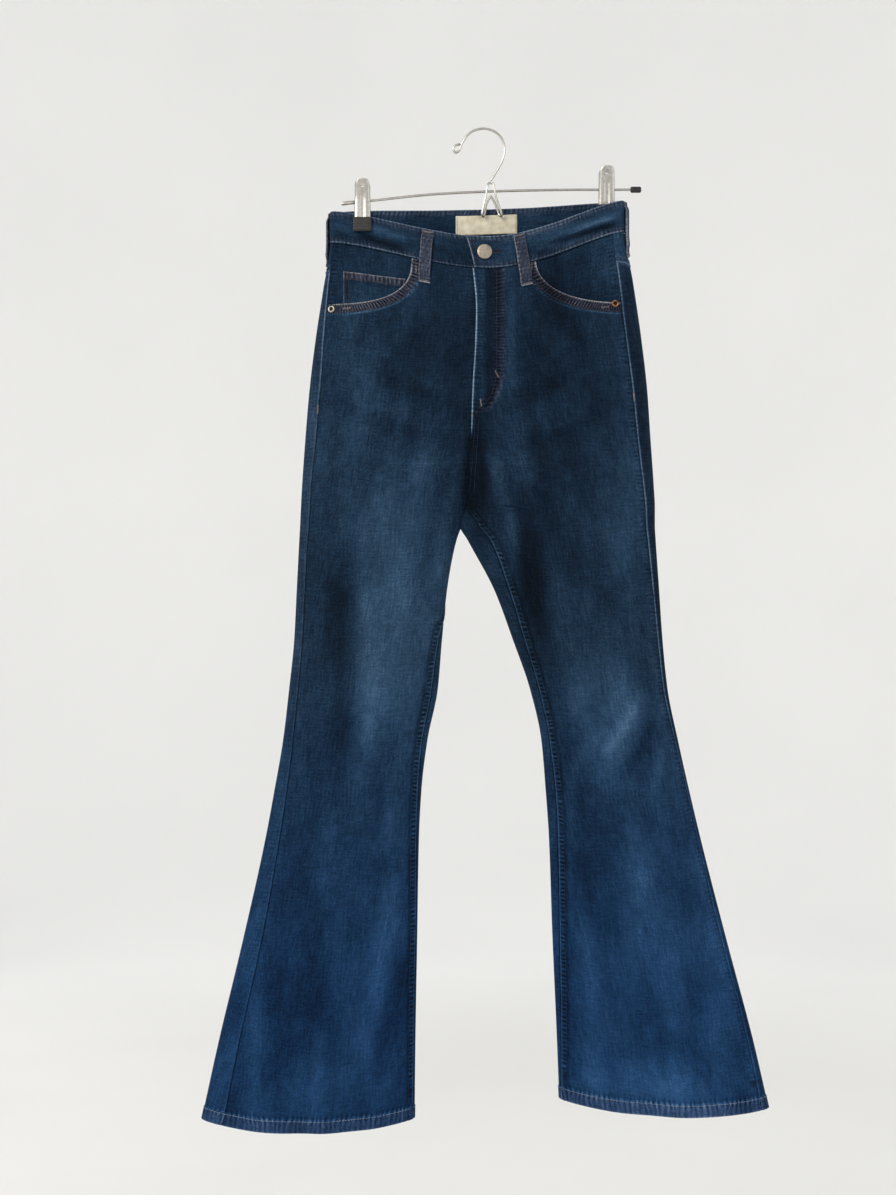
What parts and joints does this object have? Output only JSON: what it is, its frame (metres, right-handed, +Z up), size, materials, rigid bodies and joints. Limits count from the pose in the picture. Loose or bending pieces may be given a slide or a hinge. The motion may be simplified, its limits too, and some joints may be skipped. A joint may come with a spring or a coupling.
{
  "type": "flared jeans on a clip hanger",
  "caption": "Flared mid-rise denim jeans with yokes, patch pockets, belt loops and a buttoned zip fly, hanging by the waistband from a wire hanger with sprung clips.",
  "frame": {"origin": "underside of the crown of the hanger's hook, where a rail or peg carries it", "axes": "+Z up, +X to the wearer's left (right as seen from the front), front of the jeans facing -Y"},
  "size_m": [0.6613, 0.0793, 1.1713],
  "materials": {
    "denim": "stretch denim, indigo twill, worn lighter on thighs and knees",
    "denim_trim": "the same denim, worn at the edges",
    "nickel": "aged antique nickel plate",
    "copper": "aged copper plate",
    "silver": "aged nickel plate",
    "zip_tape": "woven polyester tape",
    "label": "woven satin label, bare",
    "steel": "bright plated steel wire and pressings",
    "rubber": "black, slightly dull"
  },
  "bodies": {
    "root": {"front_right": "denim", "front_left": "denim", "back_right": "denim", "back_left": "denim", "yoke_right": "denim", "yoke_left": "denim", "waistband": "denim", "pocket_facing_right": "denim", "pocket_facing_left": "denim", "back_pocket_right": "denim", "back_pocket_left": "denim", "coin_pocket": "denim_trim", "belt_loop_front_right": "denim_trim", "belt_loop_front_left": "denim_trim", "belt_loop_side_right": "denim_trim", "belt_loop_side_left": "denim_trim", "belt_loop_centre_back": "denim_trim", "button": "nickel", "zip_chain": "nickel", "zip_slider": "nickel", "rivet_left": "copper", "rivet_right": "silver", "zip_tape": "zip_tape", "label": "label", "hanger_hook": "steel", "hanger_saddle": "steel", "hanger_rod": "steel", "rod_tip_right": "steel", "clip_right_front_plate": "steel", "clip_right_back_plate": "steel", "clip_left_front_plate": "steel", "clip_left_back_plate": "steel", "clip_right_spring": "steel", "clip_left_spring": "steel", "rod_tip_left": "rubber", "clip_right_front_jaw": "rubber", "clip_right_back_jaw": "rubber", "clip_left_front_jaw": "rubber", "clip_left_back_jaw": "rubber"}
  },
  "joints": []
}
